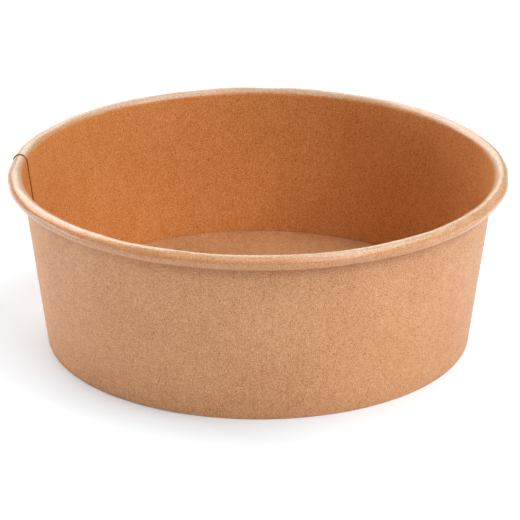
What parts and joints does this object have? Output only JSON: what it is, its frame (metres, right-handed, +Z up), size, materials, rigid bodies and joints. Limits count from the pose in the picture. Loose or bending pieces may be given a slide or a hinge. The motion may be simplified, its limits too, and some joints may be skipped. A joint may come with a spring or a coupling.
{
  "type": "paper salad bowl",
  "caption": "Round kraft board salad bowl with a leaning wrapped wall, a lapped side seam, a rolled rim and a recessed base held in a folded foot.",
  "frame": {"origin": "centre of the foot, on the plane that the bowl stands on", "axes": "+Z up along the bowl's axis, +X to the right and -Y towards the viewer in the picture"},
  "size_m": [0.1839, 0.184, 0.066],
  "materials": {
    "wall_board": "brown kraft board, matt outside, with a satin sealing film on the food side and the rim",
    "base_board": "brown kraft board with a satin sealing film on the food side"
  },
  "bodies": {
    "root": {"wall": "wall_board", "base": "base_board"}
  },
  "joints": []
}
